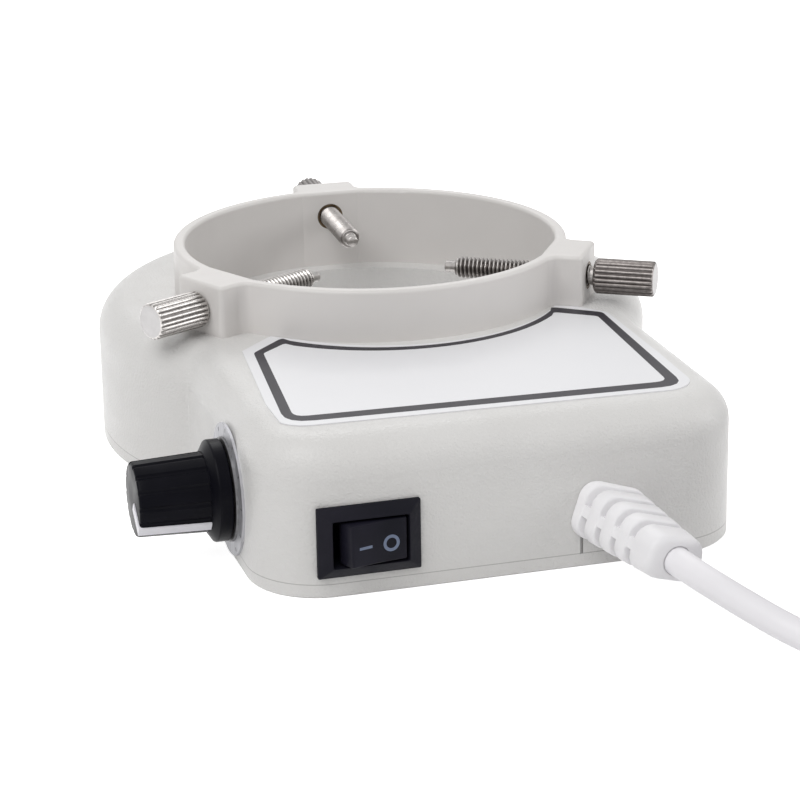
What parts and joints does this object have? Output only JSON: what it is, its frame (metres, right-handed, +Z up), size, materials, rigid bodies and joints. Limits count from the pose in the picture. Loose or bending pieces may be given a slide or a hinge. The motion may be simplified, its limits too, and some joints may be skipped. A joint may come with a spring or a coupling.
{
  "type": "microscope ring lamp",
  "caption": "Ring lamp for a stereo microscope: clamp collar with thumb screws on a lamp ring, built-in control box with rocker switch and dimmer, and a coiled mains cord.",
  "frame": {"origin": "on the axis of the lamp ring, in the plane that the lamp stands on", "axes": "+Z up along the ring's axis, out of the collar; -Y from the ring to the front of the control box with the switch and the cord; +X to the right seen from the front"},
  "size_m": [0.1611, 0.1985, 0.0323],
  "materials": {
    "housing_plastic": "fine orange-peel texture",
    "nickel_plate": "satin nickel plate",
    "screw_steel": "zinc plate",
    "insert_brass": "turned",
    "lamp_board_face": "white solder mask",
    "lamp_lens": "clear",
    "label_film": "printed film",
    "dial_aluminium": "brushed, printed",
    "bright_steel": "bright",
    "potentiometer_metal": "plated",
    "tag_metal": "tinned",
    "black_plastic": "satin",
    "pointer_white": "satin",
    "driver_board_face": "bare laminate",
    "ferrite": "fired",
    "bobbin_plastic": "satin",
    "winding_tape": "taped",
    "capacitor_sleeve": "shrink sleeve",
    "fuse_glass": "clear",
    "lead_sleeve": "smooth",
    "cord_sheath": "smooth, soft",
    "tie_strap": "satin",
    "blade_brass": "nickel plate"
  },
  "bodies": {
    "housing": {"upper_housing": "housing_plastic", "bottom_cover": "housing_plastic", "cover_screws": "screw_steel", "collar_ring": "housing_plastic", "thread_inserts": "insert_brass", "lamp_board": "lamp_board_face", "led_lamps": "lamp_lens", "lamp_board_screws": "screw_steel", "label_sheet": "label_film", "dial_plate": "dial_aluminium", "dimmer_washer": "bright_steel", "dimmer_nut": "bright_steel", "potentiometer_body": "potentiometer_metal", "potentiometer_terminals": "tag_metal", "switch_frame": "black_plastic", "switch_terminals": "tag_metal", "driver_board": "driver_board_face", "driver_board_screws": "screw_steel", "transformer_core": "ferrite", "transformer_bobbin": "bobbin_plastic", "transformer_winding": "winding_tape", "bulk_capacitor": "capacitor_sleeve", "output_capacitor": "capacitor_sleeve", "choke": "ferrite", "fuse_tube": "fuse_glass", "fuse_caps": "bright_steel", "rectifier": "black_plastic", "controller": "black_plastic", "lead_socket": "bobbin_plastic", "mains_leads": "lead_sleeve", "dimmer_leads": "lead_sleeve", "lamp_leads": "lead_sleeve", "strain_relief": "cord_sheath", "cord_inner_end": "cord_sheath", "cord_from_lamp": "cord_sheath", "cord_coil": "cord_sheath", "cord_to_plug": "cord_sheath", "cord_tie": "tie_strap", "plug_body": "cord_sheath", "plug_blades": "blade_brass"},
    "dimmer": {"dimmer_knob": "black_plastic", "knob_pointer": "pointer_white", "potentiometer_shaft": "bright_steel"},
    "rocker": {"switch_rocker": "black_plastic"},
    "stud_1": {"thumb_stud_1": "nickel_plate"},
    "head_1": {"thumb_head_1": "nickel_plate"},
    "stud_2": {"thumb_stud_2": "nickel_plate"},
    "head_2": {"thumb_head_2": "nickel_plate"},
    "stud_3": {"thumb_stud_3": "nickel_plate"},
    "head_3": {"thumb_head_3": "nickel_plate"}
  },
  "joints": [
    {"name": "dimmer_turn", "type": "hinge", "parent": "housing", "child": "dimmer", "pos_m": [-0.0375, -0.0547, 0.0108], "axis": [-1, 0, 0], "range_deg": [0, 300]},
    {"name": "rocker_tilt", "type": "hinge", "parent": "housing", "child": "rocker", "pos_m": [-0.0219, -0.073, 0.0088], "axis": [0, 0, -1], "range_deg": [0, 22]},
    {"name": "screw_1_travel", "type": "slide", "parent": "housing", "child": "stud_1", "axis": [0.0384, 0.9993, 0], "range_m": [-0.0007, 0.01715]},
    {"name": "screw_1_turn", "type": "hinge", "parent": "stud_1", "child": "head_1", "pos_m": [0.00147, 0.03832, 0.0278], "axis": [0.0384, 0.9993, 0], "range_deg": [-360, 8820]},
    {"name": "screw_2_travel", "type": "slide", "parent": "housing", "child": "stud_2", "axis": [-0.8846, -0.4664, 0], "range_m": [-0.0001, 0.01775]},
    {"name": "screw_2_turn", "type": "hinge", "parent": "stud_2", "child": "head_2", "pos_m": [-0.03392, -0.01789, 0.0278], "axis": [-0.8846, -0.4664, 0], "range_deg": [-52, 9129]},
    {"name": "screw_3_travel", "type": "slide", "parent": "housing", "child": "stud_3", "axis": [0.8462, -0.5329, 0], "range_m": [-0.00115, 0.0167]},
    {"name": "screw_3_turn", "type": "hinge", "parent": "stud_3", "child": "head_3", "pos_m": [0.03245, -0.02044, 0.0278], "axis": [0.8462, -0.5329, 0], "range_deg": [-592, 8589]}
  ],
  "couplings": [
    {"joint": "screw_1_turn", "follows": "screw_1_travel", "rad_per_m": 8976},
    {"joint": "screw_2_turn", "follows": "screw_2_travel", "rad_per_m": 8976},
    {"joint": "screw_3_turn", "follows": "screw_3_travel", "rad_per_m": 8976}
  ]
}
